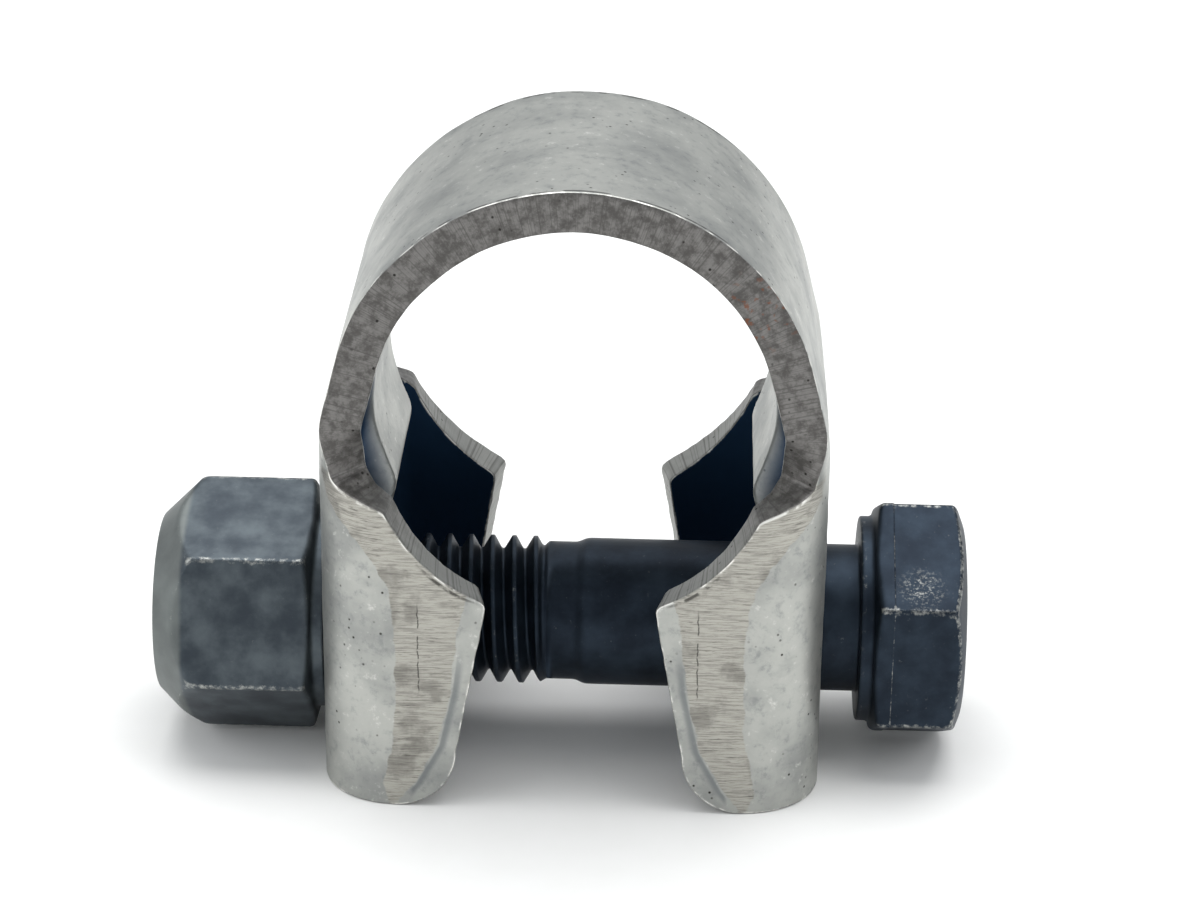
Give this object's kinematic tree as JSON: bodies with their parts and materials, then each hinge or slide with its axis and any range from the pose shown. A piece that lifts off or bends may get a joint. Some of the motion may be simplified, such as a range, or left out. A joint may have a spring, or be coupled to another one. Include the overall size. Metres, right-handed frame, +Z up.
{
  "type": "tube clamp",
  "caption": "Pressed steel band clamp with channel-shaped ears, closed on a tube by a hexagon bolt and a conical-top lock nut.",
  "frame": {"origin": "centre of the tube bore, halfway along it", "axes": "+Y along the tube; +X along the bolt, from the lock nut to the bolt's head; +Z up, away from the bolt"},
  "size_m": [0.0648, 0.028, 0.0511],
  "materials": {
    "raw_pressed_steel": "satin",
    "black_oxide_bolt_steel": "satin",
    "black_oxide_nut_steel": "satin"
  },
  "bodies": {
    "band": {"clamp_band": "raw_pressed_steel"},
    "bolt": {"clamp_bolt": "black_oxide_bolt_steel"},
    "nut": {"lock_nut": "black_oxide_nut_steel"}
  },
  "joints": [
    {"name": "bolt_draw", "type": "slide", "parent": "band", "child": "bolt", "axis": [-1, 0, 0], "range_m": [0, 0.003]},
    {"name": "nut_spin", "type": "hinge", "parent": "band", "child": "nut", "pos_m": [-0.0267, 0, -0.0218], "axis": [1, 0, 0], "range_deg": [0, 617.15]}
  ],
  "couplings": [
    {"joint": "nut_spin", "follows": "bolt_draw", "rad_per_m": 3590.4}
  ]
}
